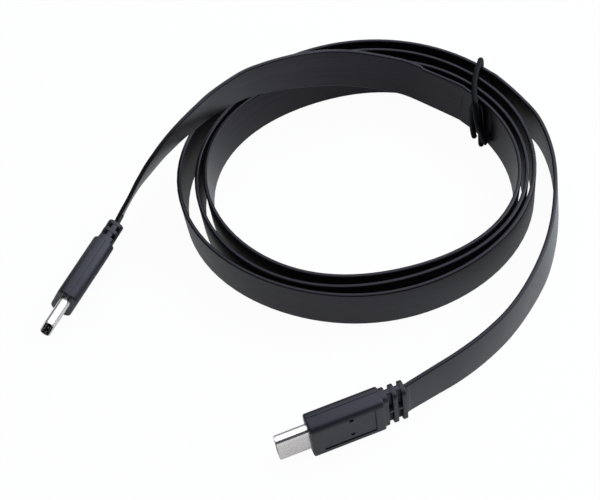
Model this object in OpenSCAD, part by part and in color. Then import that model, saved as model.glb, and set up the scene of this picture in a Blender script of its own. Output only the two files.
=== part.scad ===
// Charging cable: a flat ribbon cable standing on its edge in a loose oval coil, held by a
// rubber-covered wire tie, with the same plug on each end.
// Each plug has its own frame: +X runs from the grip to the nose, Y is across the thin way and
// Z across the wide way. The origin of that frame is the middle of the grip's front face.

/* [Flat cable] */
// Width of the flat cable
ribbon_w = 11.4; // [10:0.1:11.6]
// Thickness of the flat cable
ribbon_t = 0.9; // [0.7:0.05:1.1]
// Chamfer along the cable's long edges
ribbon_edge = 0.25; // [0.1:0.05:0.3]

/* [Coil] */
// Mean radius of the inner turn
coil_r = 30.2; // [29:0.1:34]
// How much the long way of the oval adds to the radius
coil_oval = 2.55; // [0:0.05:3]
// Turn of the oval's long way from the X axis
coil_oval_turn = -15.1; // [-30:0.1:30]
// How much the blunt corners of the oval add to the radius
coil_egg = 0.35; // [0:0.05:0.8]
// Mean free room between two turns
coil_room = 1.65; // [1.65:0.05:2]
// Angle of the tie round the coil
tie_turn = 28; // [20:1:36]

/* [Wire tie] */
// Outer diameter of the tie's rubber jacket
tie_d = 1.3; // [1:0.05:1.5]
// Diameter of the steel wire inside the tie
tie_core_d = 0.45; // [0.3:0.05:0.6]

/* [Grip] */
// Length of the grip
grip_len = 15.5; // [14.5:0.1:18]
// Width of the grip
grip_w = 12; // [12:0.1:13]
// Thickness of the grip
grip_t = 4.8; // [4.6:0.1:6]
// Corner radius round the grip
grip_round = 1.9; // [1.2:0.1:2.2]
// Corner radius at the grip's two ends
grip_nose_round = 0.9; // [0.4:0.1:1.5]
// Height of the flat panel on each wide face
panel_rise = 0.15; // [0.05:0.05:0.3]
// Length of the flat panel
panel_len = 11.3; // [8:0.1:12]
// Width of the flat panel
panel_w = 7.6; // [5:0.1:8]
// Distance of the panel from the grip's front
panel_setback = 2.3; // [1:0.1:2.5]
// Diameter of the two pin marks in each panel
pip_d = 0.55; // [0.3:0.05:0.8]
// Distance between the two pin marks
pip_pitch = 5.5; // [4:0.1:6.5]

/* [Strain relief] */
// Length of the strain relief behind the grip
relief_len = 4.9; // [4.6:0.1:8]
// Width of the strain relief's bars
relief_w = 12; // [11.9:0.1:12.6]
// Thickness of the strain relief's bars
relief_t = 3.6; // [3.2:0.1:4.4]
// Thickness of the web that joins the bars
relief_web_t = 1.9; // [1.6:0.1:2.2]
// Length of each bar along the cable
relief_bar = 1; // [0.8:0.05:1.3]
// Width of the spine across the gaps on each wide face
relief_spine = 1.9; // [1:0.1:3]

/* [Metal shell] */
// Width of the shell
shell_w = 8.25; // [8.2:0.01:8.3]
// Thickness of the shell
shell_t = 2.4; // [2.36:0.01:2.44]
// Wall of the shell
shell_wall = 0.25; // [0.2:0.01:0.3]
// Length of shell that stands out of the grip
shell_reach = 6.65; // [6.2:0.05:6.9]
// Length of shell inside the grip
shell_root = 4.8; // [4:0.1:5.4]

/* [Inside the plug] */
// Width of the slot that a socket's tongue enters
mouth_w = 6.7; // [6.6:0.05:6.8]
// Height of the slot that a socket's tongue enters
mouth_h = 0.9; // [0.85:0.01:0.95]
// Depth of the slot from the housing's front
mouth_depth = 5.3; // [4.8:0.1:5.6]
// Distance between neighbouring contacts
contact_pitch = 0.5; // [0.48:0.01:0.52]
// Width of a contact
contact_w = 0.2; // [0.15:0.01:0.24]
// Thickness of a contact strip
contact_t = 0.14; // [0.1:0.01:0.15]
// Thickness of the circuit board
board_t = 0.7; // [0.6:0.05:0.7]
// Length of the circuit board
board_len = 6; // [5:0.1:6.2]
// Width of the circuit board
board_w = 7.2; // [6.8:0.1:7.6]
// Sheet thickness of the rear can
can_wall = 0.2; // [0.15:0.01:0.25]
// Diameter of a cable wire with its insulation
wire_d = 0.62; // [0.5:0.02:0.66]
// Number of wires in the cable
wire_count = 5; // [4:1:5]

/* [Hidden] */
$fn = 48;

slip = 0.05;
cut = 1;

// Middle of the coil
coil_mid = [15.8, 13.2];
// Turns of the oval's blunt corners
coil_egg_turn = -36.3;
coil_square = 0.34;
coil_square_turn = -16.8;
coil_turns = 3;
loop_rings = 24;
ring_total = loop_rings * coil_turns;
// The turns aren't spaced evenly: room added to each of them
turn_room = [-0.6, 0.1, 0.6];
// How each turn strays between its ends: outward, then by one, two and three waves in two phases
turn_stray = [
    [0.7, 1.95, 0.1, 1.55, 0.6, 0.75, 0.25],
    [1.3, 0.6, 1, -0.5, 1.05, 0.05, -0.1],
    [-0.95, -1.1, -2.6, -1.25, -0.8, -0.85, -0.2]
];
// Beside the tie the turns lean together: the inner one outward, the outer one inward
lean_inner = -4.5;
lean_outer = 3;
lean_turn = 5;
lean_power = 4;
tie_gap = 0.15;
// The tie's wire passes under the turns and lifts them there
tie_lift = tie_d + 2 * tie_gap;
tie_lift_power = 4;

// Grip middle, turn and lean of each plug
near_xy = [-5.5, -46.8];
near_turn = 192;
far_xy = [-52.6, -6];
far_turn = 235.3;
far_lean = 28.5;
near_z = max(grip_w, relief_w) / 2;
relief_round = 1.5;
function lean_reach(w, t, r) =
    (w / 2 - r) * cos(far_lean) + (t / 2 - r) * sin(far_lean) + r;
far_z = max(lean_reach(grip_w, grip_t, grip_round), lean_reach(relief_w, relief_t, relief_round));

// Where the cable's jacket ends inside the strain relief
jacket_stop = grip_len + 0.25;

// ---------------------------------------------------------------- flat shapes

module round_rect(w, t, r) {
    square([t, w - 2 * r], center = true);
    square([t - 2 * r, w], center = true);
    for (y = [-1, 1], z = [-1, 1])
        translate([y * (t / 2 - r), z * (w / 2 - r)])
            circle(r);
}

// A rounded bar from x0 to x1 along X, w wide in Z and t thick in Y
module bar_x(x0, x1, w, t, r) {
    translate([x0, 0, 0])
        rotate([90, 0, 90])
            linear_extrude(x1 - x0)
                round_rect(w, t, r);
}

// A block from x0 to x1 along X, between two heights in Y and in Z
module block_x(x0, x1, y0, y1, z0, z1) {
    translate([x0, y0, z0])
        cube([x1 - x0, y1 - y0, z1 - z0]);
}

// ---------------------------------------------------------------- swept shapes

function unit(v) = v / norm(v);
function flat(v) = [v[0], v[1], v[2]];

// Section of the flat cable: [across, up] from the middle of the cable
function ribbon_section(flat_foot) =
    let (a = ribbon_t / 2, b = ribbon_w / 2, e = ribbon_edge)
    flat_foot
        ? [[a, -b], [a, b - e], [a - e, b], [e - a, b], [-a, b - e], [-a, -b]]
        : [[a, e - b], [a, b - e], [a - e, b], [e - a, b],
           [-a, b - e], [-a, e - b], [e - a, -b], [a - e, -b]];

function round_section(d, sides) =
    [for (i = [0 : sides - 1]) [d / 2 * cos(360 * i / sides), d / 2 * sin(360 * i / sides)]];

// One ring of a sweep: the section stands across the direction and leans to the right of it
function ring_at(mid, direction, lean, section) =
    let (
        side = unit(cross(direction, [0, 0, 1])),
        up = cross(side, unit(direction)),
        wide = cos(lean) * up + sin(lean) * side,
        thin = cos(lean) * side - sin(lean) * up
    )
    [for (p = section) mid + p[0] * thin + p[1] * wide];

// Skin of triangles over a list of rings, with fans over both ends
function skin_faces(rings, sides) = concat(
    [for (i = [0 : rings - 2], j = [0 : sides - 1])
        let (k = (j + 1) % sides)
        each [
            [i * sides + j, i * sides + k, (i + 1) * sides + k],
            [i * sides + j, (i + 1) * sides + k, (i + 1) * sides + j]
        ]],
    [for (j = [1 : sides - 2]) [0, j + 1, j]],
    [for (j = [1 : sides - 2])
        let (base = (rings - 1) * sides)
        [base, base + j, base + j + 1]]
);

module skin(rings) {
    sides = len(rings[0]);
    polyhedron([for (r = rings) each r], skin_faces(len(rings), sides), convexity = 8);
}

function blend4(a, b, c, d, t) =
    0.5 * (2 * b + (c - a) * t + (2 * a - 5 * b + 4 * c - d) * t * t
        + (3 * b - a - 3 * c + d) * t * t * t);

// Smooth curve through the route's points, with a number of steps between each two
function smooth_route(route, steps) =
    let (n = len(route))
    concat(
        [for (i = [0 : n - 2], k = [0 : steps - 1])
            blend4(
                i == 0 ? 2 * route[0] - route[1] : route[i - 1],
                route[i],
                route[i + 1],
                i == n - 2 ? 2 * route[n - 1] - route[n - 2] : route[i + 2],
                k / steps)],
        [route[n - 1]]
    );

// Direction at each point of a path, square to its first and last stretch at the ends
function path_direction(path, i) =
    let (n = len(path), a = path[max(i - 1, 0)], b = path[min(i + 1, n - 1)])
    unit(flat(b) - flat(a));

// ---------------------------------------------------------------- the coil

function coil_angle(s) = tie_turn - 360 * s;
function turn_of(s) = min(floor(s), coil_turns - 1);
function turn_step(k) = ribbon_t + coil_room + turn_room[k];
function turn_start(k) = k == 0 ? 0 : turn_start(k - 1) + turn_step(k - 1);
function stray(k, u) =
    pow(sin(180 * u), 2)
    * (turn_stray[k] * [1, sin(360 * u), cos(360 * u), sin(720 * u), cos(720 * u),
        sin(1080 * u), cos(1080 * u)]);
function coil_radius(s) =
    let (k = turn_of(s), a = coil_angle(s))
    coil_r
    + coil_oval * cos(2 * (a - coil_oval_turn))
    + coil_egg * cos(3 * (a - coil_egg_turn))
    + coil_square * cos(4 * (a - coil_square_turn))
    + turn_start(k)
    + turn_step(k) * (s - k)
    + stray(k, s - k);
function coil_lift(s) =
    tie_lift * pow(max(0, cos(coil_angle(s) - tie_turn)), tie_lift_power);
function coil_lean(s) =
    (lean_inner + (lean_outer - lean_inner) * s / coil_turns)
    * pow(max(0, cos(coil_angle(s) - lean_turn)), lean_power);
function coil_point(s) = [
    coil_mid[0] + coil_radius(s) * cos(coil_angle(s)),
    coil_mid[1] + coil_radius(s) * sin(coil_angle(s)),
    ribbon_w / 2 * cos(coil_lean(s)) + ribbon_t / 2 * abs(sin(coil_lean(s))) + coil_lift(s)
];
function level(v) = unit([v[0], v[1], 0]);

coil_path = [for (i = [0 : ring_total]) coil_point(i / loop_rings)];
short_step = 0.002;
coil_start_dir = level(coil_point(short_step) - coil_point(0));
coil_end_dir = level(coil_point(coil_turns) - coil_point(coil_turns - short_step));

function coil_dir(i) =
    i == 0 ? coil_start_dir
    : i == ring_total ? coil_end_dir
    : level(path_direction(coil_path, i));

// Points of the coil at a share of its height, on the rings and on the middles between them
function coil_rise(i) =
    let (side = cross(coil_dir(i), [0, 0, 1]), lean = coil_lean(i / loop_rings))
    cos(lean) * [0, 0, 1] + sin(lean) * side;
function coil_probe(share) =
    let (line = [for (i = [0 : ring_total]) coil_path[i] + share * ribbon_w * coil_rise(i)])
    [for (i = [0 : 2 * ring_total - 1])
        i % 2 == 0 ? line[i / 2] : (line[floor(i / 2)] + line[floor(i / 2) + 1]) / 2];
// Least distance between turns, at their lower edge, their middle and their upper edge
coil_gap = min([for (share = [-0.5, 0, 0.5])
    let (probe = coil_probe(share))
    min([for (i = [0 : len(probe) - 1], j = [i + loop_rings : len(probe) - 1])
        norm(probe[i] - probe[j])])]) - ribbon_t;
echo(least_gap_in_coil = coil_gap);

module coil() {
    color([0.15, 0.15, 0.17])
        skin([for (i = [0 : ring_total])
            ring_at(coil_path[i], coil_dir(i), coil_lean(i / loop_rings),
                ribbon_section(true))]);
}

// ---------------------------------------------------------------- the two leads

function place_point(p, xy, z, turn, lean) =
    let (
        y = p[1] * cos(lean) + p[2] * sin(lean),
        h = p[2] * cos(lean) - p[1] * sin(lean)
    )
    [xy[0] + p[0] * cos(turn) - y * sin(turn), xy[1] + p[0] * sin(turn) + y * cos(turn), z + h];

function near_point(p) = place_point(p, near_xy, near_z, near_turn, 0);
function far_point(p) = place_point(p, far_xy, far_z, far_turn, far_lean);
function leaning(p, lean) = [p[0], p[1], p[2], lean];

relief_end = grip_len + relief_len;
lead_straight = 1.5;
coil_straight = 2;

// The far lead climbs over the turns and comes down inside them: [x, y, height, lean]
far_hand_points = [
    [-37.7, 14.3, 8, 31],
    [-34.2, 17.2, 10.9, 32],
    [-31.1, 19.3, 13.3, 30],
    [-27.4, 21.5, 16, 27],
    [-22.6, 24.3, 18.5, 22],
    [-18.2, 27.2, 19.5, 18],
    [-14.2, 30.2, 19.6, 16],
    [-7.2, 34.0, 19.4, 12],
    [-2.0, 35.8, 18.7, 9],
    [3.3, 37.3, 17.5, 6],
    [8.2, 38.6, 15.8, 3],
    [12.9, 39.5, 14.1, 1],
    [17.4, 39.7, 12.6, 0],
    [21.9, 39.4, 11, 0],
    [26.5, 38.6, 9.5, 0],
    [30.7, 37.4, 8.1, -1],
    [34.3, 35.2, 6.9, -2]
];
far_route = concat(
    [leaning(far_point([-jacket_stop, 0, 0]), far_lean),
     leaning(far_point([-relief_end, 0, 0]), far_lean),
     leaning(far_point([-relief_end - lead_straight, 0, 0]), far_lean)],
    far_hand_points,
    [leaning(coil_path[0] - coil_straight * coil_start_dir, coil_lean(0)),
     leaning(coil_path[0], coil_lean(0))]
);

// The near lead leaves the coil at the tie and runs round the outside to its plug
near_hand_points = [
    [53.7, 23.5, 6.4, 3],
    [56.5, 17.5, 6.2, 6],
    [57.4, 10.9, 5.9, 6],
    [56.9, 4.0, 5.8, 5],
    [55.2, -3.4, 5.8, 5],
    [52.5, -10.9, 5.8, 5],
    [48.8, -17.9, 5.8, 5],
    [43.7, -24.6, 5.8, 3],
    [38.3, -30.0, 5.8, 2],
    [32.4, -34.3, 6, 2],
    [26.5, -37.6, 6.2, 2],
    [21.1, -39.9, 6.2, 1]
];
near_route = concat(
    [leaning(coil_path[ring_total], coil_lean(coil_turns)),
     leaning(coil_path[ring_total] + coil_straight * coil_end_dir, coil_lean(coil_turns))],
    near_hand_points,
    [leaning(near_point([-relief_end - lead_straight, 0, 0]), 0),
     leaning(near_point([-relief_end, 0, 0]), 0),
     leaning(near_point([-jacket_stop, 0, 0]), 0)]
);
lead_steps = 2;

// A free stretch whose end at the coil lies flat on the coil's own end face
module lead(route, coil_end, coil_way) {
    path = smooth_route(route, lead_steps);
    meets = coil_end * (len(path) - 1);
    color([0.15, 0.15, 0.17])
        skin([for (i = [0 : len(path) - 1])
            ring_at(flat(path[i]), i == meets ? coil_way : path_direction(path, i), path[i][3],
                ribbon_section(false))]);
}

module far_lead() {
    lead(far_route, 1, coil_start_dir);
}

module near_lead() {
    lead(near_route, 0, coil_end_dir);
}

function path_length(path) =
    [for (i = 1, s = norm(flat(path[1]) - flat(path[0])); i < len(path);
        i = i + 1, s = i < len(path) ? s + norm(flat(path[i]) - flat(path[i - 1])) : s) s];
function last(list) = list[len(list) - 1];
far_length = last(path_length(smooth_route(far_route, lead_steps)));
near_length = last(path_length(smooth_route(near_route, lead_steps)));
coil_length = last(path_length(coil_path));
echo(far_lead_length = far_length, coil_length = coil_length, near_lead_length = near_length);

// ---------------------------------------------------------------- the wire tie

wire_sides = 8;
tie_steps = 3;
tie_tip = 0.35;
bundle_top = tie_lift + ribbon_w;
// The coil's faces run straight from ring to ring, a little inside the true curve
ring_sag = coil_r * (1 - cos(180 / loop_rings));
tie_reach = ribbon_t / 2 + tie_d / 2 + tie_gap / 2 + ring_sag;
tie_low = tie_d / 2 + tie_gap / 3;
tie_high = bundle_top + tie_d / 2 + tie_gap;

// Where the tie crosses the turns: a little past its angle inside, a little before it outside
cross_in = coil_point(6 / 360);
cross_out = coil_point(coil_turns - 5.7 / 360);
cross_way = level(cross_out - cross_in);
cross_side = cross(cross_way, [0, 0, 1]);

// A point beside the inner turn, further along it by some degrees and inward by a distance
function beside_inner(turned, inward, z) =
    let (p = coil_point((6 + turned) / 360), way = level(p - concat(coil_mid, p[2])))
    [p[0] - inward * way[0], p[1] - inward * way[1], z];
// A point on the way across, a share of it along, then a distance on and one to the side
function crossing(share, on, side, z) =
    let (p = cross_in + share * (cross_out - cross_in) + on * cross_way + side * cross_side)
    [p[0], p[1], z];

tie_route = [
    beside_inner(11.1, tie_reach + 0.4, 2.3),
    beside_inner(9.2, tie_reach + 1.0, 6.2),
    beside_inner(7.3, tie_reach + 1.3, 9),
    beside_inner(5.9, tie_reach + 1.15, 11.9),
    beside_inner(4.4, tie_reach + 0.7, tie_high - 0.1),
    crossing(0, -1.75, -0.1, tie_high + 0.1),
    crossing(0, 0.3, -0.3, tie_high),
    crossing(0.35, 0, -0.45, tie_high),
    crossing(0.7, 0, -0.2, tie_high),
    crossing(1, -0.6, 0.3, tie_high),
    crossing(1, 0.75, 0.5, tie_high - 0.35),
    crossing(1, 1.35, 0.6, 11.9),
    crossing(1, 1.5, 0.6, 8),
    crossing(1, 1.7, 0.7, 4.5),
    crossing(1, 1.8, 0.8, 1.9),
    crossing(1, 0.6, 0.8, tie_low + 0.1),
    crossing(0.6, 0, 1, tie_low),
    crossing(0.2, 0, 1.3, tie_low),
    crossing(0, -1.2, 1.5, tie_low),
    beside_inner(8.1, tie_reach + 0.4, tie_low + 0.3),
    beside_inner(7.9, tie_reach + 0.4, 1.9),
    beside_inner(7.1, tie_reach + 0.2, 4.3),
    beside_inner(5.9, tie_reach, 7.95),
    beside_inner(4.4, tie_reach - 0.15, 11),
    beside_inner(2.6, tie_reach - 0.15, 12),
    beside_inner(1.1, tie_reach - 0.1, 10.4),
    beside_inner(1.1, tie_reach + 0.05, 8),
    beside_inner(1.7, tie_reach + 0.2, 5.2),
    beside_inner(2.6, tie_reach + 0.35, 2.9),
    beside_inner(4, tie_reach + 0.45, tie_low + 0.4)
];
tie_curve = smooth_route(tie_route, tie_steps);
tie_path = concat(
    [tie_curve[0], tie_curve[0] + tie_tip * unit(tie_curve[1] - tie_curve[0])],
    [for (i = [1 : len(tie_curve) - 2]) tie_curve[i]],
    [last(tie_curve) - tie_tip * unit(last(tie_curve) - tie_curve[len(tie_curve) - 2]),
     last(tie_curve)]
);

// Ring of a round wire: its start point keeps to one side, so the wire never twists
function wire_ring(path, i, d, across) =
    let (
        direction = path_direction(path, i),
        side = unit(across - (across * direction) * direction),
        up = cross(side, direction)
    )
    [for (p = round_section(d, wire_sides)) flat(path[i]) + p[0] * side + p[1] * up];

module wire_sweep(path, d, across) {
    skin([for (i = [0 : len(path) - 1]) wire_ring(path, i, d, across)]);
}

// Faces of a tube whose points are the outer rings and then the inner rings
function tube_faces(rings, sides) =
    let (inner = rings * sides, end = (rings - 1) * sides)
    concat(
        [for (i = [0 : rings - 2], j = [0 : sides - 1])
            let (k = (j + 1) % sides, a = i * sides, b = (i + 1) * sides)
            each [
                [a + j, a + k, b + k], [a + j, b + k, b + j],
                [inner + a + j, inner + b + k, inner + a + k],
                [inner + a + j, inner + b + j, inner + b + k]
            ]],
        [for (j = [0 : sides - 1])
            let (k = (j + 1) % sides)
            each [
                [j, inner + j, inner + k], [j, inner + k, k],
                [end + j, end + k, inner + end + k], [end + j, inner + end + k, inner + end + j]
            ]]
    );

tie_rings = len(tie_path);
// The jacket's ends are rounded and its bore is pinched shut over the wire's ends
function tie_outer(i) = i == 0 || i == tie_rings - 1 ? 0.55 * tie_d : tie_d;
function tie_bore(i) = i == 0 || i == tie_rings - 1 ? 0.1 : tie_core_d + slip;

module tie_jacket() {
    outer = [for (i = [0 : tie_rings - 1]) wire_ring(tie_path, i, tie_outer(i), cross_side)];
    inner = [for (i = [0 : tie_rings - 1]) wire_ring(tie_path, i, tie_bore(i), cross_side)];
    color([0.12, 0.12, 0.13])
        polyhedron([for (r = concat(outer, inner)) each r], tube_faces(tie_rings, wire_sides),
            convexity = 8);
}

module tie_wire() {
    path = [for (i = [1 : tie_rings - 2]) tie_path[i]];
    color("silver")
        wire_sweep(path, tie_core_d, cross_side);
}

// ---------------------------------------------------------------- the plug

// Lengths of the plug's inside, measured back from the grip's front face
shell_clear = slip / 2;
can_front = 1.6;
can_clear = 0.1;
can_w = shell_w + 2 * (can_clear + can_wall);
can_t = shell_t + 2 * (can_clear + can_wall);
pocket_w = can_w + 2 * slip;
pocket_t = can_t + 2 * slip;
pocket_round = 1.45;
pocket_front = can_front - slip;
shell_round = shell_t / 2 - 0.02;
housing_back = 4.2;
housing_front = shell_reach - 0.75;
housing_w = shell_w - 2 * shell_wall - 2 * slip;
housing_t = shell_t - 2 * shell_wall - 2 * slip;
housing_round = housing_t / 2 - 0.02;
board_front = shell_root + slip;
board_back = board_front + board_len;
can_back = board_back + 0.7;
mould_front = can_back + 0.7;
mould_back = mould_front + 1.3;
tenon_front = mould_back + slip;
wire_bend = can_back + 0.5;
wire_rest = board_back - 0.1;
wire_tip = board_back - 1.2;
wire_row = 6.8;
wire_pitch = wire_row / (wire_count - 1);
wire_seat = board_t / 2 + wire_d / 2 + 0.02;
contact_y = board_t / 2 + 0.01;

module grip() {
    difference() {
        union() {
            intersection() {
                bar_x(-grip_len, 0, grip_w, grip_t, grip_round);
                translate([-grip_len / 2, 0, 0])
                    rotate([90, 0, 0])
                        linear_extrude(2 * grip_t, center = true)
                            round_rect(grip_w, grip_len, grip_nose_round);
                translate([-grip_len / 2, 0, 0])
                    rotate([0, 0, 90])
                        linear_extrude(2 * grip_w, center = true)
                            round_rect(grip_len, grip_t, grip_nose_round);
            }
            panels();
        }
        bar_x(-pocket_front - cut, cut, shell_w + 2 * shell_clear, shell_t + 2 * shell_clear,
            shell_round);
        bar_x(-grip_len - cut, -pocket_front, pocket_w, pocket_t, pocket_round);
        for (side = [-1, 1], end = [-1, 1])
            translate([-panel_setback - panel_len / 2, side * (grip_t / 2 + panel_rise),
                end * pip_pitch / 2])
                rotate([90, 0, 0])
                    cylinder(h = 2 * (panel_rise + 0.25), d = pip_d, center = true);
        for (end = [-1, 1])
            block_x(-grip_len - cut, cut, -0.06, 0.06,
                end * grip_w / 2 - 0.08, end * grip_w / 2 + 0.08);
    }
}

// The flat panel that stands just proud of each wide face
module panels() {
    translate([-panel_setback - panel_len / 2, 0, 0])
        rotate([90, 0, 0])
            linear_extrude(grip_t + 2 * panel_rise, center = true)
                round_rect(panel_w, panel_len, 0.5);
}

module strain_relief() {
    difference() {
        union() {
            bar_x(-relief_end, -grip_len, relief_w - 0.3, relief_web_t, 0.5);
            for (i = [0 : 2])
                bar_x(-relief_end + i * relief_step(), -relief_end + i * relief_step() + relief_bar,
                    relief_w, relief_t, relief_round);
            for (side = [-1, 1])
                block_x(-relief_end, -grip_len,
                    side > 0 ? 0 : 0.15 - relief_t / 2, side > 0 ? relief_t / 2 - 0.15 : 0,
                    -side * 1.2 - relief_spine / 2, -side * 1.2 + relief_spine / 2);
            bar_x(-grip_len - 0.01, -tenon_front, pocket_w - 2 * slip, pocket_t - 2 * slip,
                pocket_round - slip);
        }
        bar_x(-relief_end - cut, -jacket_stop + 0.01, ribbon_w + 2 * slip, ribbon_t + 2 * slip, 0.2);
        wire_holes(-jacket_stop - cut, -tenon_front + cut);
    }
}

function relief_step() = (relief_len - relief_bar) / 2;

// Round holes for the row of wires
module wire_holes(x0, x1) {
    for (i = [0 : wire_count - 1])
        translate([x0, 0, i * wire_pitch - wire_row / 2])
            rotate([0, 90, 0])
                cylinder(h = x1 - x0, d = wire_d + slip);
}

module shell() {
    difference() {
        union() {
            bar_x(-shell_root, shell_reach - 0.2, shell_w, shell_t, shell_round);
            bar_x(-shell_root, shell_reach - 0.08, shell_w - 0.12, shell_t - 0.12,
                shell_round - 0.06);
            bar_x(-shell_root, shell_reach, shell_w - 0.3, shell_t - 0.3, shell_round - 0.15);
        }
        bar_x(-shell_root - cut, shell_reach + cut, shell_w - 2 * shell_wall,
            shell_t - 2 * shell_wall, shell_round - shell_wall);
    }
}

spring_back = 2;
spring_t = 0.12;
spring_w = 5.6;
spring_y = housing_t / 2 - spring_t;
finger_back = 5;
finger_low = mouth_h / 2 + 0.12;

module housing() {
    difference() {
        bar_x(-housing_back, housing_front, housing_w, housing_t, housing_round);
        // slot for the socket's tongue
        block_x(housing_front - mouth_depth, housing_front + cut, -mouth_h / 2, mouth_h / 2,
            -mouth_w / 2, mouth_w / 2);
        // seat of the latch plate, open at both sides beside the slot
        block_x(-housing_back - cut, housing_front - mouth_depth + 0.01, -latch_t / 2 - slip / 2,
            latch_t / 2 + slip / 2, -latch_w / 2 - slip, latch_w / 2 + slip);
        for (side = [-1, 1])
            block_x(housing_front - mouth_depth, housing_front - 0.4, -0.3, 0.3,
                side > 0 ? mouth_w / 2 - 0.01 : -housing_w, side > 0 ? housing_w : 0.01 - mouth_w / 2);
        // channels of the contacts
        for (side = [-1, 1], z = contact_row)
            block_x(-housing_back - cut, housing_front - 0.3,
                side > 0 ? contact_y - slip : -contact_y - contact_t - 0.1,
                side > 0 ? contact_y + contact_t + 0.1 : slip - contact_y,
                z - contact_w / 2 - slip / 2, z + contact_w / 2 + slip / 2);
        // seats of the ground springs
        for (side = [-1, 1]) {
            block_x(spring_back - slip, housing_front + cut,
                side > 0 ? spring_y - slip : -housing_t, side > 0 ? housing_t : slip - spring_y,
                -spring_w / 2 - slip, spring_w / 2 + slip);
            block_x(finger_back, housing_front + cut,
                side > 0 ? finger_low - slip : -housing_t, side > 0 ? housing_t : slip - finger_low,
                -spring_w / 2 - slip, spring_w / 2 + slip);
        }
    }
}

// Places of the contacts across the mouth; the cable uses seven above and five below
contact_row = [for (i = [0 : 11]) (i - 5.5) * contact_pitch];
upper_used = [0, 3, 4, 5, 6, 8, 11];
lower_used = [0, 3, 4, 8, 11];

contact_tail = -board_front - 0.6;
contact_tip = housing_front - 0.45;

// Side view of one contact strip with its bowed tip
module contact_profile() {
    y = contact_y;
    t = contact_t;
    polygon([
        [contact_tail, y], [contact_tip - 1.6, y], [contact_tip - 0.9, y - 0.08],
        [contact_tip - 0.5, y - 0.08], [contact_tip, y + 0.04], [contact_tip, y + t + 0.04],
        [contact_tip - 0.55, y + t - 0.08], [contact_tip - 0.85, y + t - 0.08],
        [contact_tip - 1.55, y + t], [contact_tail, y + t]
    ]);
}

module contacts(used, side) {
    for (i = used)
        translate([0, 0, contact_row[i]])
            mirror([0, side > 0 ? 0 : 1, 0])
                linear_extrude(contact_w, center = true)
                    contact_profile();
}

latch_t = 0.2;
latch_w = 7.2;
latch_arm = 0.26;

// Stamped fork between the two rows: its arms run beside the mouth and end in hooks
module latch_plate() {
    back = -shell_root + 0.1;
    root = housing_front - mouth_depth - slip;
    tip = housing_front - 0.5;
    edge = latch_w / 2;
    inside = edge - latch_arm;
    hook = inside - 0.42;
    rotate([90, 0, 0])
        linear_extrude(latch_t, center = true)
            polygon([
                [back, -edge], [tip, -edge], [tip, 0.1 - edge], [tip - 0.35, -hook],
                [tip - 0.7, -hook], [tip - 1.2, -inside], [root, -inside],
                [root, inside], [tip - 1.2, inside], [tip - 0.7, hook],
                [tip - 0.35, hook], [tip, edge - 0.1], [tip, edge], [back, edge]
            ]);
}

// Two spring plates between the housing and the shell, with four fingers at the mouth
module ground_springs() {
    fingers = 4;
    finger_w = 0.7;
    finger_pitch = (spring_w - finger_w) / (fingers - 1);
    for (side = [0, 1])
        mirror([0, side, 0]) {
            block_x(spring_back, finger_back, spring_y, spring_y + spring_t,
                -spring_w / 2, spring_w / 2);
            for (i = [0 : fingers - 1])
                translate([0, 0, i * finger_pitch - (spring_w - finger_w) / 2])
                    linear_extrude(finger_w, center = true)
                        polygon([
                            [finger_back - 0.01, spring_y], [finger_back + 0.2, spring_y],
                            [finger_back + 0.5, finger_low], [finger_back + 0.8, finger_low],
                            [finger_back + 0.8, finger_low + spring_t],
                            [finger_back + 0.55, finger_low + spring_t],
                            [finger_back + 0.25, spring_y + spring_t],
                            [finger_back - 0.01, spring_y + spring_t]
                        ]);
        }
}

module board() {
    block_x(-board_back, -board_front, -board_t / 2, board_t / 2, -board_w / 2, board_w / 2);
}

module marker_chip() {
    side = 1.6;
    height = 0.5;
    translate([-board_front - 2.6, board_t / 2 + 0.01, 0.4])
        cube([side, height, side]);
}

module capacitor() {
    length = 0.6;
    depth = 0.3;
    translate([-board_front - 2.2, board_t / 2 + 0.01, -1.4])
        cube([length, depth, depth]);
}

// Folded sheet can round the back of the shell and the board
module rear_can() {
    difference() {
        bar_x(-can_back, -can_front, can_w, can_t, pocket_round - slip);
        bar_x(-can_back - cut, -can_front + cut, can_w - 2 * can_wall, can_t - 2 * can_wall,
            pocket_round - slip - can_wall);
    }
}

module inner_mould() {
    difference() {
        bar_x(-mould_back, -mould_front, pocket_w - 2 * slip, pocket_t - 2 * slip,
            pocket_round - slip);
        wire_holes(-mould_back - cut, -mould_front + cut);
    }
}

// Each wire runs from the end of the cable's jacket up onto the board
module wires() {
    for (i = [0 : wire_count - 1]) {
        z = i * wire_pitch - wire_row / 2;
        wire_sweep([
            [slip - jacket_stop, 0, z],
            [-mould_front, 0, z],
            [-wire_bend, wire_seat * 0.1, z],
            [-wire_bend + 0.5, wire_seat * 0.5, z],
            [-wire_rest, wire_seat, z],
            [-wire_tip, wire_seat, z]
        ], wire_d, [0, 0, 1]);
    }
}

// ---------------------------------------------------------------- the two plugs in place

module at_near() {
    translate([near_xy[0], near_xy[1], near_z])
        rotate([0, 0, near_turn])
            children();
}

module at_far() {
    translate([far_xy[0], far_xy[1], far_z])
        rotate([-far_lean, 0, far_turn])
            children();
}

grip_color = [0.2, 0.21, 0.24];
steel_color = [0.78, 0.76, 0.74];
plate_color = [0.6, 0.6, 0.62];
gold_color = [0.85, 0.68, 0.3];
resin_color = [0.06, 0.06, 0.07];
board_color = [0.05, 0.3, 0.15];
mould_color = [0.85, 0.84, 0.8];
wire_color = [0.7, 0.15, 0.12];

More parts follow.
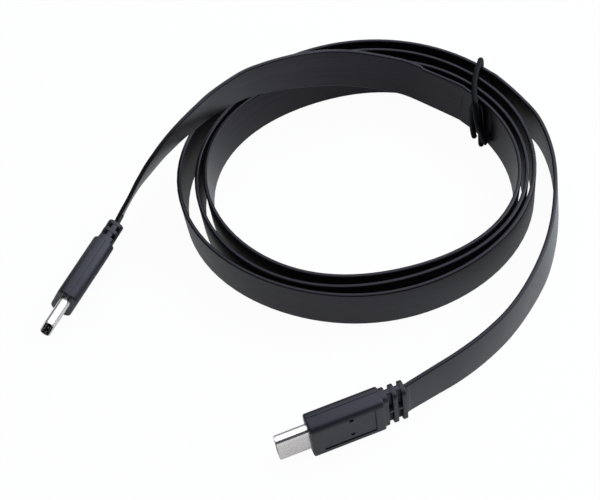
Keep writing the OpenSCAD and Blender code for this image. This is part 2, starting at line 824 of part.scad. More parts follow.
module near_grip() { color(grip_color) at_near() grip(); }
module near_strain_relief() { color(grip_color) at_near() strain_relief(); }
module near_shell() { color(steel_color) at_near() shell(); }
module near_housing() { color(resin_color) at_near() housing(); }
module near_upper_contacts() { color(gold_color) at_near() contacts(upper_used, 1); }
module near_lower_contacts() { color(gold_color) at_near() contacts(lower_used, -1); }
module near_latch_plate() { color(plate_color) at_near() latch_plate(); }
module near_ground_springs() { color(plate_color) at_near() ground_springs(); }
module near_board() { color(board_color) at_near() board(); }
module near_marker_chip() { color(resin_color) at_near() marker_chip(); }
module near_capacitor() { color(gold_color) at_near() capacitor(); }
module near_rear_can() { color(plate_color) at_near() rear_can(); }
module near_inner_mould() { color(mould_color) at_near() inner_mould(); }
module near_wires() { color(wire_color) at_near() wires(); }

module far_grip() { color(grip_color) at_far() grip(); }
module far_strain_relief() { color(grip_color) at_far() strain_relief(); }
module far_shell() { color(steel_color) at_far() shell(); }
module far_housing() { color(resin_color) at_far() housing(); }
module far_upper_contacts() { color(gold_color) at_far() contacts(upper_used, 1); }
module far_lower_contacts() { color(gold_color) at_far() contacts(lower_used, -1); }
module far_latch_plate() { color(plate_color) at_far() latch_plate(); }
module far_ground_springs() { color(plate_color) at_far() ground_springs(); }
module far_board() { color(board_color) at_far() board(); }
module far_rear_can() { color(plate_color) at_far() rear_can(); }
module far_inner_mould() { color(mould_color) at_far() inner_mould(); }
module far_wires() { color(wire_color) at_far() wires(); }

far_lead();
coil();
near_lead();
tie_jacket();
tie_wire();
near_grip();
near_strain_relief();
near_shell();
near_housing();
near_upper_contacts();
near_lower_contacts();
near_latch_plate();
near_ground_springs();
near_board();
near_marker_chip();
near_capacitor();
near_rear_can();
near_inner_mould();
near_wires();
far_grip();
far_strain_relief();
far_shell();
far_housing();
far_upper_contacts();
far_lower_contacts();
far_latch_plate();
far_ground_springs();
far_board();
far_rear_can();
far_inner_mould();
far_wires();
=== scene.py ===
# %% [markdown]
# # A coiled flat charging cable
#
# The rigid pieces of both plugs come from the CAD model, exact and in place. This script adds the
# camera, the soft pieces (the flat cable and the wire tie), the finishes and the light.

# %% Load the frame
import bmesh
import bpy
import math
from mathutils import Matrix, Vector


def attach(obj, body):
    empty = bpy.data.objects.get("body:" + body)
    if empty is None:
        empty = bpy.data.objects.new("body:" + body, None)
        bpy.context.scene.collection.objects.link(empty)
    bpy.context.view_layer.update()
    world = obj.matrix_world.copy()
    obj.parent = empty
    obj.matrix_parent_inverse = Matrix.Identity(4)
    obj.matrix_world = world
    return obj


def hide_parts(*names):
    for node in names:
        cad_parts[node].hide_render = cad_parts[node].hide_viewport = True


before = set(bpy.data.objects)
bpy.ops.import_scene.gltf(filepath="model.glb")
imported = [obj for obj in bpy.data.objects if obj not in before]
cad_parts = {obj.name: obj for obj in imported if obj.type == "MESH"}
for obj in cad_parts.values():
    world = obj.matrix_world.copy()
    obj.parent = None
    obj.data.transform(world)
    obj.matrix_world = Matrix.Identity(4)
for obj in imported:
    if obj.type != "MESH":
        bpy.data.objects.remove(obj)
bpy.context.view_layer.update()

# %% [markdown]
# ## Camera
# A long lens from above and in front. The camera is turned a little about its own line of sight,
# so the ground's horizontal runs slightly downhill in the frame.

# %% Camera
MM = 0.001
aim = Vector((-0.7, 0.9, 0)) * MM
height_angle = math.radians(55.93)
roll = math.radians(10.16)
distance = 281.1 * MM

sight = Vector((0, math.cos(height_angle), -math.sin(height_angle)))
level_right = Vector((1, 0, 0))
level_up = Vector((0, math.sin(height_angle), math.cos(height_angle)))
right = math.cos(roll) * level_right - math.sin(roll) * level_up
up = math.sin(roll) * level_right + math.cos(roll) * level_up

lens = bpy.data.cameras.new("camera")
lens.sensor_width = 36
lens.lens = 36 * 1272.6 / 600
lens.clip_start = 0.01
camera = bpy.data.objects.new("camera", lens)
turn = Matrix((right, up, -sight)).transposed().to_4x4()
camera.matrix_world = Matrix.Translation(aim - distance * sight) @ turn
bpy.context.scene.collection.objects.link(camera)
bpy.context.scene.camera = camera
print("camera at", camera.location, "lens", round(lens.lens, 2))

# %% [markdown]
# ## The cable's route
# The cable is one flat ribbon that stands on its edge. Its three turns follow a spiral formula:
# a rounded oval whose radius grows by an uneven step in each turn, while each turn strays a
# little between its ends. Where the tie passes under the turns they are lifted by its thickness.
# The two free stretches follow given points, and a curve passes smoothly through them.

# %% The coil's formula
ribbon_w = 11.4 * MM
ribbon_t = 0.9 * MM
tie_d = 1.3 * MM
tie_turn = 28
turns = 3
turn_steps = [1.95, 2.65, 3.15]
turn_stray = [
    (0.7, 1.95, 0.1, 1.55, 0.6, 0.75, 0.25),
    (1.3, 0.6, 1, -0.5, 1.05, 0.05, -0.1),
    (-0.95, -1.1, -2.6, -1.25, -0.8, -0.85, -0.2),
]
tie_lift = 1.6


def cosine(degrees):
    return math.cos(math.radians(degrees))


def sine(degrees):
    return math.sin(math.radians(degrees))


def coil_lean(s):
    return (-4.5 + 7.5 * s / turns) * max(0, cosine(tie_turn - 360 * s - 5)) ** 4


def coil_point(s):
    angle = tie_turn - 360 * s
    k = min(max(math.floor(s), 0), turns - 1)
    u = s - k
    stray = turn_stray[k][0]
    for wave in (1, 2, 3):
        stray += turn_stray[k][2 * wave - 1] * sine(360 * wave * u)
        stray += turn_stray[k][2 * wave] * cosine(360 * wave * u)
    radius = (
        30.2
        + 2.55 * cosine(2 * (angle + 15.1))
        + 0.35 * cosine(3 * (angle + 36.3))
        + 0.34 * cosine(4 * (angle + 16.8))
        + sum(turn_steps[:k])
        + turn_steps[k] * u
        + sine(180 * u) ** 2 * stray
    )
    lift = tie_lift * max(0, cosine(angle - tie_turn)) ** 4
    height = 5.7 * cosine(coil_lean(s)) + 0.45 * abs(sine(coil_lean(s))) + lift
    return Vector((15.8 + radius * cosine(angle), 13.2 + radius * sine(angle), height)) * MM


def level(way):
    return Vector((way.x, way.y, 0)).normalized()


def smooth_route(points, steps):
    points = [Vector(p) for p in points]
    ends = [2 * points[0] - points[1]] + points + [2 * points[-1] - points[-2]]
    route = []
    for a, b, c, d in zip(ends, ends[1:], ends[2:], ends[3:]):
        for k in range(steps):
            t = k / steps
            route.append(0.5 * (2 * b + (c - a) * t + (2 * a - 5 * b + 4 * c - d) * t * t
                                + (3 * b - a - 3 * c + d) * t * t * t))
    return route + [points[-1]]


# %% [markdown]
# Each plug lies turned about the vertical, and the far one also leans about its own length, so a
# small function carries a point of the plug's own frame to its place on the ground.

# %% Places of the two plugs
far_lean = 28.5
far_height = 4.1 * math.cos(math.radians(far_lean)) + 0.5 * math.sin(math.radians(far_lean)) + 1.9
near_place = Matrix.Translation((-5.5, -46.8, 6)) @ Matrix.Rotation(math.radians(192), 4, "Z")
far_place = (
    Matrix.Translation((-52.6, -6, far_height))
    @ Matrix.Rotation(math.radians(235.3), 4, "Z")
    @ Matrix.Rotation(math.radians(-far_lean), 4, "X")
)
relief_end = 20.4
jacket_stop = 15.75


def on_plug(place, x, lean):
    return (*(place @ Vector((x, 0, 0))), lean)


# %% Routes in millimetres: x, y, height, lean
coil_start = coil_point(0) / MM
coil_start_way = level(coil_point(0.002) - coil_point(0))
coil_end = coil_point(turns) / MM
coil_end_way = level(coil_point(turns) - coil_point(turns - 0.002))

far_route = [
    on_plug(far_place, -jacket_stop, far_lean),
    on_plug(far_place, -relief_end, far_lean),
    on_plug(far_place, -relief_end - 1.5, far_lean),
    (-37.7, 14.3, 8, 31),
    (-34.2, 17.2, 10.9, 32),
    (-31.1, 19.3, 13.3, 30),
    (-27.4, 21.5, 16, 27),
    (-22.6, 24.3, 18.5, 22),
    (-18.2, 27.2, 19.5, 18),
    (-14.2, 30.2, 19.6, 16),
    (-7.2, 34.0, 19.4, 12),
    (-2.0, 35.8, 18.7, 9),
    (3.3, 37.3, 17.5, 6),
    (8.2, 38.6, 15.8, 3),
    (12.9, 39.5, 14.1, 1),
    (17.4, 39.7, 12.6, 0),
    (21.9, 39.4, 11, 0),
    (26.5, 38.6, 9.5, 0),
    (30.7, 37.4, 8.1, -1),
    (34.3, 35.2, 6.9, -2),
    (*(coil_start - 2 * coil_start_way), coil_lean(0)),
    (*coil_start, coil_lean(0)),
]
near_route = [
    (*coil_end, coil_lean(turns)),
    (*(coil_end + 2 * coil_end_way), coil_lean(turns)),
    (53.7, 23.5, 6.4, 3),
    (56.5, 17.5, 6.2, 6),
    (57.4, 10.9, 5.9, 6),
    (56.9, 4.0, 5.8, 5),
    (55.2, -3.4, 5.8, 5),
    (52.5, -10.9, 5.8, 5),
    (48.8, -17.9, 5.8, 5),
    (43.7, -24.6, 5.8, 3),
    (38.3, -30.0, 5.8, 2),
    (32.4, -34.3, 6, 2),
    (26.5, -37.6, 6.2, 2),
    (21.1, -39.9, 6.2, 1),
    (15.85, -42.0, 6, 0),
    on_plug(near_place, -relief_end, 0),
    on_plug(near_place, -jacket_stop, 0),
]
print("route points:", len(far_route), "far,", len(near_route), "near")

# %% [markdown]
# ## Sweeping a section
# A bmesh starts as one closed ring of edges and is extruded ring by ring along the route. Each new
# ring is set on a small frame: one way across the cable, one way up its width. The UV map runs in
# metres, along the route and round the section, so that a finish can follow the cable.


# %% Frames along a route
def ribbon_frames(route, ways, leans):
    frames = []
    for point, way, lean in zip(route, ways, leans):
        side = way.cross(Vector((0, 0, 1))).normalized()
        rise = side.cross(way).normalized()
        lean = math.radians(lean)
        wide = math.cos(lean) * rise + math.sin(lean) * side
        thin = math.cos(lean) * side - math.sin(lean) * rise
        frames.append((point, thin, wide))
    return frames


def ways_along(points, flat=False):
    last = len(points) - 1
    ways = [points[min(i + 1, last)] - points[max(i - 1, 0)] for i in range(last + 1)]
    if flat:
        ways = [way * Vector((1, 1, 0)) for way in ways]
    return [way.normalized() for way in ways]


# %% Sweep a section along frames
def sweep(name, section, frames, scales=None):
    count = len(section)
    rounds = [0.0]
    for a, b in zip(section, section[1:] + section[:1]):
        rounds.append(rounds[-1] + (Vector(a) - Vector(b)).length)
    bm = bmesh.new()
    slot = bm.verts.layers.int.new("slot")
    step = bm.verts.layers.int.new("step")
    scales = scales or [1.0] * len(frames)

    def settle(verts, i):
        point, thin, wide = frames[i]
        for v in verts:
            a, b = section[v[slot]]
            v.co = point + scales[i] * (a * thin + b * wide)
            v[step] = i

    first = [bm.verts.new((0, 0, 0)) for _ in section]
    for k, v in enumerate(first):
        v[slot] = k
    settle(first, 0)
    ring = [bm.edges.new((first[k], first[(k + 1) % count])) for k in range(count)]
    start = ring
    for i in range(1, len(frames)):
        made = bmesh.ops.extrude_edge_only(bm, edges=ring)["geom"]
        settle([g for g in made if isinstance(g, bmesh.types.BMVert)], i)
        ring = [g for g in made if isinstance(g, bmesh.types.BMEdge)
                and g.verts[0][step] == i and g.verts[1][step] == i]
    bmesh.ops.contextual_create(bm, geom=start)
    bmesh.ops.contextual_create(bm, geom=ring)
    bmesh.ops.recalc_face_normals(bm, faces=bm.faces)

    along = [0.0]
    for (a, _, _), (b, _, _) in zip(frames, frames[1:]):
        along.append(along[-1] + (b - a).length)
    uv = bm.loops.layers.uv.new("along_and_round")
    for face in bm.faces:
        seam = {0, count - 1} <= {v[slot] for v in face.verts} and len(face.verts) == 4
        for loop in face.loops:
            k = loop.vert[slot]
            loop[uv].uv = (along[loop.vert[step]], rounds[count if seam and k == 0 else k])
        face.smooth = len(face.verts) == 4
    for edge in bm.edges:
        edge.smooth = all(face.smooth for face in edge.link_faces)
    mesh = bpy.data.meshes.new(name)
    bm.to_mesh(mesh)
    bm.free()
    piece = bpy.data.objects.new(name, mesh)
    bpy.context.scene.collection.objects.link(piece)
    print(name, "length", round(along[-1], 4), "m,", len(mesh.polygons), "faces")
    return piece, along[-1]


# %% [markdown]
# ## The flat cable
# Its section is a flat bar with rounded edges, 11.4 by 0.9 mm. Each turn of the coil is a piece of
# its own, and the five stretches meet face to face.

# %% Section of the cable
def bar_section(width, thickness, edge, arc_steps):
    section = []
    for a, b, start in ((1, 1, 0), (-1, 1, 90), (-1, -1, 180), (1, -1, 270)):
        for k in range(arc_steps + 1):
            angle = math.radians(start + 90 * k / arc_steps)
            section.append((a * (thickness / 2 - edge) + edge * math.cos(angle),
                            b * (width / 2 - edge) + edge * math.sin(angle)))
    return section


cable_section = bar_section(ribbon_w, ribbon_t, 0.4 * MM, 6)

# %% Five stretches of cable
cables = {}


def free_stretch(name, route):
    curve = smooth_route([(*(Vector(p[:3]) * MM), p[3]) for p in route], 8)
    points = [p.to_3d() for p in curve]
    frames = ribbon_frames(points, ways_along(points), [p[3] for p in curve])
    piece, length = sweep(name, cable_section, frames)
    cables[name] = (piece, length, points)


def coil_turn(name, s):
    rings = 96
    points = [coil_point(s + i / rings) for i in range(-1, rings + 2)]
    ways = ways_along(points, flat=True)[1:-1]
    points = points[1:-1]
    leans = [coil_lean(s + i / rings) for i in range(rings + 1)]
    if s == 0:
        ways[0] = coil_start_way
    if s == turns - 1:
        ways[-1] = coil_end_way
    piece, length = sweep(name, cable_section, ribbon_frames(points, ways, leans))
    cables[name] = (piece, length, points)


free_stretch("cable_far_lead", far_route)
coil_turn("cable_turn_1", 0)
coil_turn("cable_turn_2", 1)
coil_turn("cable_turn_3", 2)
free_stretch("cable_near_lead", near_route)

# %% [markdown]
# ## The wire tie
# A soft steel wire in a rubber jacket, bent once round the bundle. Both ends stand inside the
# ring: one comes over the top and hangs in front, the other comes up from below and is hooked.
# Some points are given beside the inner turn, others on the straight way across the turns.

# %% Route of the tie
tie_reach = 1.35
low = 0.7
high = tie_lift + 11.4 + 0.8
cross_in = coil_point(6 / 360) / MM
cross_out = coil_point(turns - 5.7 / 360) / MM
cross_way = level(cross_out - cross_in)
cross_side = cross_way.cross(Vector((0, 0, 1)))


def beside_inner(turned, inward, z):
    place = coil_point((6 + turned) / 360) / MM
    place -= inward * level(place - Vector((15.8, 13.2, 0)))
    return Vector((place.x, place.y, z)) * MM


def crossing(share, on, side, z):
    place = cross_in + share * (cross_out - cross_in) + on * cross_way + side * cross_side
    return Vector((place.x, place.y, z)) * MM


tie_places = [
    beside_inner(11.1, tie_reach + 0.4, 2.3),
    beside_inner(9.2, tie_reach + 1.0, 6.2),
    beside_inner(7.3, tie_reach + 1.3, 9),
    beside_inner(5.9, tie_reach + 1.15, 11.9),
    beside_inner(4.4, tie_reach + 0.7, high - 0.1),
    crossing(0, -1.75, -0.1, high + 0.1),
    crossing(0, 0.3, -0.3, high),
    crossing(0.35, 0, -0.45, high),
    crossing(0.7, 0, -0.2, high),
    crossing(1, -0.6, 0.3, high),
    crossing(1, 0.75, 0.5, high - 0.35),
    crossing(1, 1.35, 0.6, 11.9),
    crossing(1, 1.5, 0.6, 8),
    crossing(1, 1.7, 0.7, 4.5),
    crossing(1, 1.8, 0.8, 1.9),
    crossing(1, 0.6, 0.8, low + 0.1),
    crossing(0.6, 0, 1, low),
    crossing(0.2, 0, 1.3, low),
    crossing(0, -1.2, 1.5, low),
    beside_inner(8.1, tie_reach + 0.4, low + 0.3),
    beside_inner(7.9, tie_reach + 0.4, 1.9),
    beside_inner(7.1, tie_reach + 0.2, 4.3),
    beside_inner(5.9, tie_reach, 7.95),
    beside_inner(4.4, tie_reach - 0.15, 11),
    beside_inner(2.6, tie_reach - 0.15, 12),
    beside_inner(1.1, tie_reach - 0.1, 10.4),
    beside_inner(1.1, tie_reach + 0.05, 8),
    beside_inner(1.7, tie_reach + 0.2, 5.2),
    beside_inner(2.6, tie_reach + 0.35, 2.9),
    beside_inner(4, tie_reach + 0.45, low + 0.4),
]

# %% Sweep the tie
tie_line = smooth_route(tie_places, 10)
tie_frames = []
for point, way in zip(tie_line, ways_along(tie_line)):
    side = (cross_side - cross_side.dot(way) * way).normalized()
    tie_frames.append((point, side, side.cross(way)))
tie_section = [(tie_d / 2 * math.cos(math.radians(30 * k)), tie_d / 2 * math.sin(math.radians(30 * k)))
               for k in range(12)]
swell = [1.0] * len(tie_line)
for k, scale in enumerate((0.35, 0.8, 0.97)):
    swell[k] = swell[-1 - k] = scale
tie, tie_length = sweep("wire_tie", tie_section, tie_frames, swell)
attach(tie, "root")
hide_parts("tie_jacket")

# %% [markdown]
# ## The moulded grips
# Each grip is one block of plastic moulded round the plug's back. The CAD grip has its size and
# its bore; the piece here adds the softer look of the moulding: a panel that a narrow step sets
# off below and behind, two deep round marks left by the mould's pins on each wide face, and the
# parting line along both narrow sides. It starts as a cube whose edges are rounded by bevels, and
# boolean modifiers cut the marks, so every cut keeps a crisp rim. One wide face is the other turned
# half round about the plug's length, as both halves come from the same mould.


# %% Tools for blocks in a plug's own frame
def block(bm, low_corner, high_corner):
    made = bmesh.ops.create_cube(bm, size=1)["verts"]
    low_corner, high_corner = Vector(low_corner), Vector(high_corner)
    bmesh.ops.scale(bm, verts=made, vec=high_corner - low_corner)
    bmesh.ops.translate(bm, verts=made, vec=(low_corner + high_corner) / 2)
    return made


def round_edges(bm, verts, radius, segments, along=None):
    edges = {edge for v in verts for edge in v.link_edges}
    if along is not None:
        edges = {edge for edge in edges
                 if abs((edge.verts[0].co - edge.verts[1].co).normalized()[along]) > 0.99}
    bmesh.ops.bevel(bm, geom=list(edges), offset=radius, segments=segments, affect="EDGES",
                    profile=0.5, material=-1)


def as_object(bm, name, place=None):
    if place is not None:
        bmesh.ops.transform(bm, verts=bm.verts, matrix=Matrix.Scale(MM, 4) @ place)
    mesh = bpy.data.meshes.new(name)
    bm.to_mesh(mesh)
    bm.free()
    piece = bpy.data.objects.new(name, mesh)
    bpy.context.scene.collection.objects.link(piece)
    return piece


# %% Cuts in the grips
def grip_cuts(name, place, parting):
    bm = bmesh.new()
    shell_way = block(bm, (-1.6, -1.23, -4.15), (1, 1.23, 4.15))
    round_edges(bm, shell_way, 1.2, 6, along=0)
    pocket = block(bm, (-17, -1.55, -4.475), (-1.55, 1.55, 4.475))
    round_edges(bm, pocket, 1.45, 6, along=0)
    for side in (-1, 1):
        block(bm, (-17, side * parting - 0.1, side * 6 - 0.14), (1, side * parting + 0.1, side * 6 + 0.14))
        for height in (4.35, -1.4):
            mark = bmesh.ops.create_cone(bm, segments=20, cap_ends=True, radius1=0.5, radius2=0.5,
                                         depth=1.4)["verts"]
            bmesh.ops.rotate(bm, verts=mark, matrix=Matrix.Rotation(math.radians(90), 3, "X"))
            bmesh.ops.translate(bm, verts=mark, vec=(-8.4, side * 2.4, side * height))
        low, high = sorted((side * -3.0, side * -3.75))
        near, far = sorted((side * 1.75, side * 2.7))
        block(bm, (-13.3, near, low), (-2.4, far, high))
        low, high = sorted((side * -3.55, side * 4.7))
        near, far = sorted((side * 2.2, side * 2.7))
        block(bm, (-13.5, near, low), (-13.25, far, high))
    return as_object(bm, name, place)


# %% Grips
def moulded_grip(name, place, corner, parting):
    bm = bmesh.new()
    body = block(bm, (-15.5, -2.45, -6), (0, 2.45, 6))
    round_edges(bm, body, corner, 10, along=0)
    ends = [edge for edge in bm.edges if edge.is_manifold
            and abs(edge.verts[0].co.x - edge.verts[1].co.x) < 1e-6
            and abs(abs(edge.verts[0].co.x + 7.75) - 7.75) < 1e-6]
    bmesh.ops.bevel(bm, geom=ends, offset=0.45, segments=4, affect="EDGES", profile=0.5, material=-1)
    piece = as_object(bm, name, place)
    cuts = grip_cuts(name + "_cuts", place, parting)
    cut = piece.modifiers.new("cuts", "BOOLEAN")
    cut.object = cuts
    cut.operation = "DIFFERENCE"
    cut.solver = "EXACT"
    cut.use_self = True
    solid = bpy.data.meshes.new_from_object(piece.evaluated_get(bpy.context.evaluated_depsgraph_get()))
    piece.modifiers.clear()
    piece.data = solid
    bpy.data.objects.remove(cuts)
    for face in solid.polygons:
        face.use_smooth = True
    solid.set_sharp_from_angle(angle=math.radians(32))
    print(name, len(solid.polygons), "faces")
    return piece


grips = {}
for end, place, corner, parting in (("near", near_place, 1.5, -0.7), ("far", far_place, 1.9, 0)):
    grips[end] = moulded_grip(end + "_moulded_grip", place, corner, parting)
    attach(grips[end], "root")
    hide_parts(end + "_grip")

# %% [markdown]
# ## The strain reliefs
# Behind each grip the soft plastic runs on as a thin web over the cable, crossed by three bars, so
# that it bends easily. A spine on each wide face joins the bars and leaves two windows on either
# side of it. Each bar is a rounded block of its own, and the web and spines pass through them.

# %% Strain reliefs
def ribbed_relief(name, place):
    bm = bmesh.new()
    web = block(bm, (-20.4, -0.65, -5.95), (-15.05, 0.65, 5.95))
    round_edges(bm, web, 0.3, 4, along=0)
    for k in range(3):
        back = -20.4 + k * 1.95
        front = back + 1 if k < 2 else -15.06
        bar = block(bm, (back, -1.8, -6), (front, 1.8, 6))
        round_edges(bm, bar, 1.35, 8, along=0)
        rims = [edge for edge in bm.edges if abs(edge.verts[0].co.x - edge.verts[1].co.x) < 1e-6
                and min(abs(edge.verts[0].co.x - back), abs(edge.verts[0].co.x - front)) < 1e-6
                and max(len(face.verts) for face in edge.link_faces) > 4]
        bmesh.ops.bevel(bm, geom=rims, offset=0.18, segments=3, affect="EDGES", profile=0.5,
                        material=-1)
    for side in (-1, 1):
        spine = block(bm, (-20.2, min(0, side * 1.65), -side * 0.1 - 0.4),
                      (-15.3, max(0, side * 1.65), -side * 0.1 + 0.4))
        round_edges(bm, spine, 0.15, 3, along=0)
    for face in bm.faces:
        face.smooth = True
    piece = as_object(bm, name, place)
    piece.data.set_sharp_from_angle(angle=math.radians(32))
    print(name, len(piece.data.polygons), "faces")
    return piece


reliefs = {}
for end, place in (("near", near_place), ("far", far_place)):
    reliefs[end] = ribbed_relief(end + "_ribbed_relief", place)
    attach(reliefs[end], "root")
    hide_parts(end + "_strain_relief")

# %% [markdown]
# ## Attaching the cable
# Each stretch is attached to the root, and the CAD node it stands for is hidden.


def declare(name, node, exit_point):
    piece, length, points = cables[name]
    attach(piece, "root")
    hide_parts(node)


declare("cable_far_lead", "far_lead", coil_point(0))
declare("cable_turn_1", "coil", coil_point(0))
declare("cable_turn_2", "coil", coil_point(1))
declare("cable_turn_3", "coil", coil_point(2))
declare("cable_near_lead", "near_lead", coil_point(3))
print("whole cable", round(sum(length for _, length, _ in cables.values()), 3), "m")

# %% [markdown]
# ## Finishes
# One function adds a node with its settings and links. Colours are written as sRGB hex values and
# turned to linear light by one other function.

# %% Helpers for finishes
def colour(text):
    parts = [int(text[i:i + 2], 16) / 255 for i in (1, 3, 5)]
    return (*[c / 12.92 if c <= 0.04045 else ((c + 0.055) / 1.055) ** 2.4 for c in parts], 1)


def node(tree, kind, inputs=None, **settings):
    made = tree.nodes.new("ShaderNode" + kind)
    for key, value in settings.items():
        setattr(made, key, value)
    for key, value in (inputs or {}).items():
        if isinstance(value, bpy.types.NodeSocket):
            tree.links.new(value, made.inputs[key])
        else:
            made.inputs[key].default_value = value
    return made


def new_finish(name, **values):
    material = bpy.data.materials.new(name)
    material.use_nodes = True
    shader = material.node_tree.nodes["Principled BSDF"]
    for key, value in values.items():
        shader.inputs[key.replace("_", " ").capitalize() if key != "IOR" else key].default_value = value
    return material, material.node_tree, shader


# %% [markdown]
# ### Cable jacket: extruded thermoplastic elastomer
# Black and satin. The extruder's die draws fine lines along the cable, about 0.2 mm apart.

# %% Cable jacket
jacket, tree, shader = new_finish("extruded_tpe_black", Roughness=0.4)
shader.inputs["Specular IOR Level"].default_value = 0.28
shader.inputs["Specular Tint"].default_value = (0.93, 0.84, 1, 1)
uv = node(tree, "UVMap", uv_map="along_and_round")
stretched = node(tree, "Mapping", {"Vector": uv.outputs["UV"], "Scale": (12, 2200, 1)})
streaks = node(tree, "TexNoise", {"Vector": stretched.outputs["Vector"], "Scale": 1.0, "Detail": 3.0})
shade = node(tree, "ValToRGB", {"Fac": streaks.outputs["Fac"]})
shade.color_ramp.elements[0].position = 0.36
shade.color_ramp.elements[0].color = colour("#040305")
shade.color_ramp.elements[1].position = 0.7
shade.color_ramp.elements[1].color = colour("#1f1c21")
tree.links.new(shade.outputs["Color"], shader.inputs["Base Color"])
gloss = node(tree, "MapRange", {"Value": streaks.outputs["Fac"], "To Min": 0.26, "To Max": 0.38})
tree.links.new(gloss.outputs["Result"], shader.inputs["Roughness"])
bump = node(tree, "Bump", {"Height": streaks.outputs["Fac"], "Strength": 0.15, "Distance": 0.00003})
tree.links.new(bump.outputs["Normal"], shader.inputs["Normal"])
for piece, _, _ in cables.values():
    piece.data.materials.append(jacket)

# %% [markdown]
# ### Tie jacket: soft rubber
# A little paler than the cable, with a dull, even sheen.

# %% Tie rubber
rubber, tree, shader = new_finish("soft_rubber_black", Roughness=0.5)
shader.inputs["Specular IOR Level"].default_value = 0.08
spots = node(tree, "TexCoord")
grain = node(tree, "TexNoise", {"Vector": spots.outputs["Object"], "Scale": 3000.0, "Detail": 2.0})
shade = node(tree, "ValToRGB", {"Fac": grain.outputs["Fac"]})
shade.color_ramp.elements[0].color = colour("#060608")
shade.color_ramp.elements[1].color = colour("#0f0f12")
tree.links.new(shade.outputs["Color"], shader.inputs["Base Color"])
bump = node(tree, "Bump", {"Height": grain.outputs["Fac"], "Strength": 0.2, "Distance": 0.00004})
tree.links.new(bump.outputs["Normal"], shader.inputs["Normal"])
tie.data.materials.append(rubber)

# %% [markdown]
# ### Grips and strain reliefs: moulded ABS and elastomer with a spark-eroded grain
# The mould's spark-eroded skin gives a fine, even grain of about 0.15 mm.


# %% Grained plastic
def grained_plastic(name, dark, light, roughness, grain_mm, depth_mm, shine=0.5, tint=(1, 1, 1, 1)):
    material, tree, shader = new_finish(name, Roughness=roughness)
    shader.inputs["Specular IOR Level"].default_value = shine
    shader.inputs["Specular Tint"].default_value = tint
    spots = node(tree, "TexCoord")
    grain = node(tree, "TexNoise", {"Vector": spots.outputs["Object"], "Scale": 1 / (grain_mm * MM),
                                    "Detail": 3.0})
    shade = node(tree, "ValToRGB", {"Fac": grain.outputs["Fac"]})
    shade.color_ramp.elements[0].position = 0.3
    shade.color_ramp.elements[1].position = 0.7
    shade.color_ramp.elements[0].color = colour(dark)
    shade.color_ramp.elements[1].color = colour(light)
    tree.links.new(shade.outputs["Color"], shader.inputs["Base Color"])
    bump = node(tree, "Bump", {"Height": grain.outputs["Fac"], "Strength": 0.5,
                               "Distance": depth_mm * MM})
    tree.links.new(bump.outputs["Normal"], shader.inputs["Normal"])
    return material


grip_finish = grained_plastic("moulded_abs_grained", "#101014", "#1d1e25", 0.45, 0.16, 0.02,
                              0.38, (0.93, 0.87, 1, 1))
relief_finish = grained_plastic("moulded_tpe_satin", "#101014", "#1d1e25", 0.45, 0.2, 0.015,
                                0.38, (0.93, 0.87, 1, 1))

# %% [markdown]
# ### Metals of the plugs
# The shell is drawn stainless steel with a nickel plating, satin from drawing. Contacts are gold
# plated. A metal gets its colour from its base colour and keeps the default IOR.


# %% Metals
def plated_metal(name, hex_colour, roughness, line_mm):
    material, tree, shader = new_finish(name, Metallic=1.0, Roughness=roughness)
    spots = node(tree, "TexCoord")
    stretched = node(tree, "Mapping", {"Vector": spots.outputs["Object"],
                                       "Scale": (1 / (line_mm * MM), 1 / (line_mm * MM), 1 / (line_mm * MM))})
    grain = node(tree, "TexNoise", {"Vector": stretched.outputs["Vector"], "Scale": 1.0, "Detail": 2.0})
    gloss = node(tree, "MapRange", {"Value": grain.outputs["Fac"], "To Min": roughness - 0.05,
                                    "To Max": roughness + 0.07})
    tree.links.new(gloss.outputs["Result"], shader.inputs["Roughness"])
    bump = node(tree, "Bump", {"Height": grain.outputs["Fac"], "Strength": 0.03, "Distance": 0.000001})
    tree.links.new(bump.outputs["Normal"], shader.inputs["Normal"])
    shader.inputs["Base Color"].default_value = colour(hex_colour)
    return material


shell_finish = plated_metal("nickel_plated_steel", "#ded7d4", 0.26, 0.3)
spring_finish = plated_metal("spring_steel", "#a3a09c", 0.4, 0.2)
gold_finish = plated_metal("gold_plated_copper", "#c79f5c", 0.4, 0.1)
wire_finish = plated_metal("annealed_steel_wire", "#a9a7a4", 0.4, 0.2)

# %% Plastics inside the plugs
housing_finish = grained_plastic("moulded_lcp_black", "#101012", "#18181a", 0.5, 0.1, 0.005)
board_finish = grained_plastic("solder_mask_green", "#0f4026", "#15502f", 0.3, 0.4, 0.005)
chip_finish = grained_plastic("moulded_epoxy", "#1b1b1d", "#242426", 0.6, 0.08, 0.01)
ceramic_finish = grained_plastic("fired_ceramic", "#a08866", "#b49b76", 0.5, 0.05, 0.005)
mould_finish = grained_plastic("inner_polyethylene", "#d9d7cf", "#e4e2db", 0.45, 0.3, 0.01)
wire_skin_finish = grained_plastic("extruded_pvc_red", "#9a1f1a", "#b02822", 0.35, 0.2, 0.005)

# %% Finishes on the grips and strain reliefs
for piece in grips.values():
    piece.data.materials.append(grip_finish)
for piece in reliefs.values():
    piece.data.materials.append(relief_finish)

# %% Finishes on the CAD nodes
finishes = {
    "grip": grip_finish, "strain_relief": relief_finish, "shell": shell_finish,
    "housing": housing_finish, "contacts": gold_finish, "latch_plate": spring_finish,
    "ground_springs": spring_finish, "board": board_finish, "marker_chip": chip_finish,
    "capacitor": ceramic_finish, "rear_can": spring_finish, "inner_mould": mould_finish,
    "wires": wire_skin_finish, "tie_wire": wire_finish,
}
for name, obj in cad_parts.items():
    for ending, material in finishes.items():
        if name.endswith(ending):
            obj.material_slots[0].material = material

# %% [markdown]
# ## Ground and light
# A pale ground that keeps a soft shadow, a wide soft lamp above, a little to the right and behind,
# and a smaller one on the right. The left side stays darker, so the band's two sides differ.


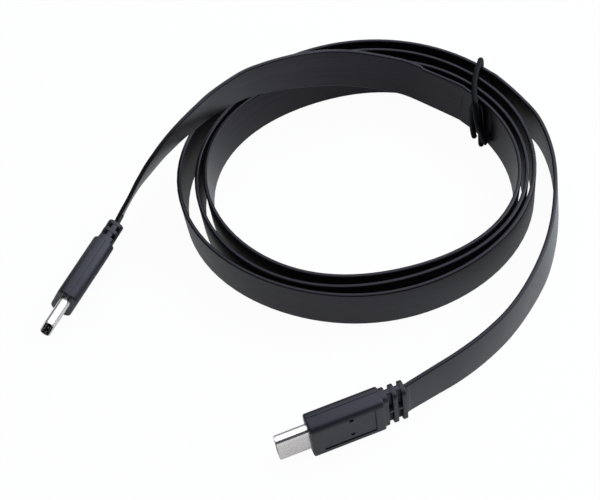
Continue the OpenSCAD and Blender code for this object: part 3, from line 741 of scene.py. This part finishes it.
# %% Ground
bm = bmesh.new()
bmesh.ops.create_grid(bm, x_segments=1, y_segments=1, size=1.5)
bmesh.ops.translate(bm, verts=bm.verts, vec=(0, 0, -0.00005))
mesh = bpy.data.meshes.new("ground")
bm.to_mesh(mesh)
bm.free()
ground = bpy.data.objects.new("ground", mesh)
bpy.context.scene.collection.objects.link(ground)
paper, tree, shader = new_finish("white_paper", Roughness=0.9)
shader.inputs["Base Color"].default_value = (0.93, 0.93, 0.93, 1)
glow = node(tree, "Emission", {"Color": (1, 1, 1, 1), "Strength": 1.0})
path = node(tree, "LightPath")
mirrored = node(tree, "Math", {0: path.outputs["Is Glossy Ray"], 1: 0.2}, operation="MULTIPLY")
seen = node(tree, "Math", {0: path.outputs["Is Camera Ray"], 1: 0.96}, operation="MULTIPLY")
share = node(tree, "Math", {0: mirrored.outputs[0], 1: seen.outputs[0]}, operation="MAXIMUM")
both = node(tree, "MixShader", {0: share.outputs[0], 1: shader.outputs[0], 2: glow.outputs[0]})
tree.links.new(both.outputs[0], tree.nodes["Material Output"].inputs["Surface"])
ground.data.materials.append(paper)

# %% World
world = bpy.data.worlds.new("studio")
world.use_nodes = True
bpy.context.scene.world = world
tree = world.node_tree
back = tree.nodes["Background"]
back.inputs["Color"].default_value = (1, 1, 1, 1)
back.inputs["Strength"].default_value = 0.15
path = node(tree, "LightPath")
sky = node(tree, "Mix", {0: path.outputs["Is Glossy Ray"], 6: (1, 1, 1, 1), 7: (0.84, 0.92, 1, 1)},
           data_type="RGBA")
white = node(tree, "Background", {"Color": sky.outputs[2], "Strength": 1.0})
seen = node(tree, "Math", {0: path.outputs["Is Camera Ray"], 1: path.outputs["Is Glossy Ray"]},
            operation="MAXIMUM")
shown = node(tree, "Math", {0: seen.outputs[0], 1: path.outputs["Is Transmission Ray"]},
             operation="MAXIMUM")
both = node(tree, "MixShader", {0: shown.outputs[0], 1: back.outputs[0], 2: white.outputs[0]})
tree.links.new(both.outputs[0], tree.nodes["World Output"].inputs["Surface"])


# %% Lamps
def soft_lamp(name, place, size, power):
    light = bpy.data.lights.new(name, "AREA")
    light.shape = "RECTANGLE"
    light.size, light.size_y = size
    light.energy = power
    light.color = (0.86, 0.94, 1)
    lamp = bpy.data.objects.new(name, light)
    lamp.location = place
    lamp.rotation_euler = (-Vector(place)).to_track_quat("-Z", "Y").to_euler()
    bpy.context.scene.collection.objects.link(lamp)


soft_lamp("above", (0.2, 0.12, 0.6), (1.1, 0.9), 4.5)
soft_lamp("right", (0.6, 0.1, 0.3), (0.5, 0.6), 3.2)

# %% Black cards in front and on the left, for reflections only
bm = bmesh.new()
for turned in (0, -90):
    card = bmesh.ops.create_grid(bm, x_segments=1, y_segments=1, size=0.5)["verts"]
    bmesh.ops.scale(bm, verts=card, vec=(1, 0.5, 1))
    bmesh.ops.rotate(bm, verts=card, matrix=Matrix.Rotation(math.radians(90), 3, "X"))
    bmesh.ops.translate(bm, verts=card, vec=(0, -0.35, 0.27))
    bmesh.ops.rotate(bm, verts=card, matrix=Matrix.Rotation(math.radians(turned), 3, "Z"))
mesh = bpy.data.meshes.new("black_card")
bm.to_mesh(mesh)
bm.free()
card = bpy.data.objects.new("black_card", mesh)
bpy.context.scene.collection.objects.link(card)
card.visible_camera = False
card.visible_diffuse = False
card.visible_shadow = False
felt, tree, shader = new_finish("black_felt", Roughness=1.0)
shader.inputs["Base Color"].default_value = (0.03, 0.03, 0.03, 1)
shader.inputs["Specular IOR Level"].default_value = 0
card.data.materials.append(felt)

# %% Settings and finish
bpy.context.scene.view_settings.view_transform = "Standard"
bpy.context.view_layer.update()
